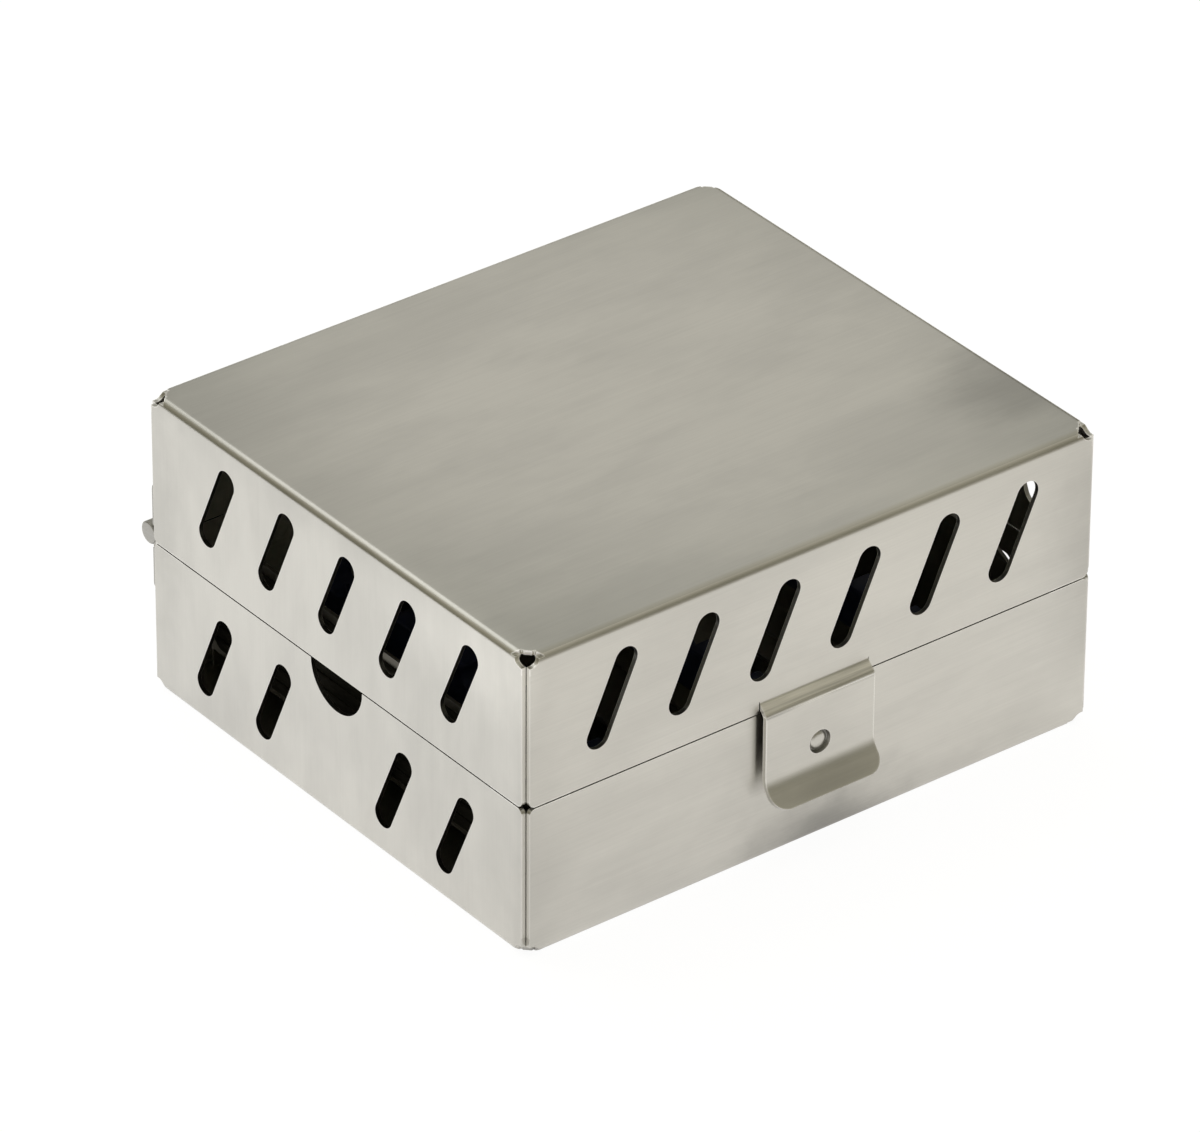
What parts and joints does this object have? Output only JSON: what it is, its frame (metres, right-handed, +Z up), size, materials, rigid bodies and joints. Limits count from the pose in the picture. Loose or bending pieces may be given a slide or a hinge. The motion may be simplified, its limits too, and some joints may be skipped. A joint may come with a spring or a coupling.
{
  "type": "dental instrument cassette",
  "caption": "Folded stainless-steel instrument case with slanted vent slots, hinged lid, sprung tongue latch and a lift-out rack of silicone holders.",
  "frame": {"origin": "centre of the base's flat underside, with the lid shut", "axes": "+X to the right along the front, which has the latch; +Y from the front to the hinge; +Z up"},
  "size_m": [0.142, 0.1351, 0.069],
  "materials": {
    "case_steel": "satin brushed",
    "hinge_steel": "rolled satin",
    "pin_steel": "drawn wire",
    "rack_steel": "fine satin",
    "silicone": "matt moulded",
    "grip_silicone": "matt ribbed"
  },
  "bodies": {
    "base": {"base_shell": "case_steel", "base_hinge_leaf": "hinge_steel", "hinge_pin": "pin_steel"},
    "lid": {"lid_shell": "case_steel", "lid_hinge_leaf": "hinge_steel"},
    "latch": {"latch_tongue": "case_steel"},
    "rack": {"rack_tray": "rack_steel", "grip_left": "grip_silicone", "grip_right": "grip_silicone", "rail_left": "rack_steel", "strip_left": "silicone", "rail_middle": "rack_steel", "strip_middle": "silicone", "rail_right": "rack_steel", "strip_right": "silicone"}
  },
  "joints": [
    {"name": "lid_hinge", "type": "hinge", "parent": "base", "child": "lid", "pos_m": [0, 0.06445, 0.0345], "axis": [-1, 0, 0], "range_deg": [0, 180]},
    {"name": "latch_flex", "type": "hinge", "parent": "lid", "child": "latch", "pos_m": [0, -0.062, 0.03725], "axis": [-1, 0, 0], "range_deg": [0, 8], "stiffness_Nm_per_rad": 2},
    {"name": "rack_lift", "type": "slide", "parent": "base", "child": "rack", "axis": [0, 0, 1], "range_m": [0, 0.03]}
  ]
}
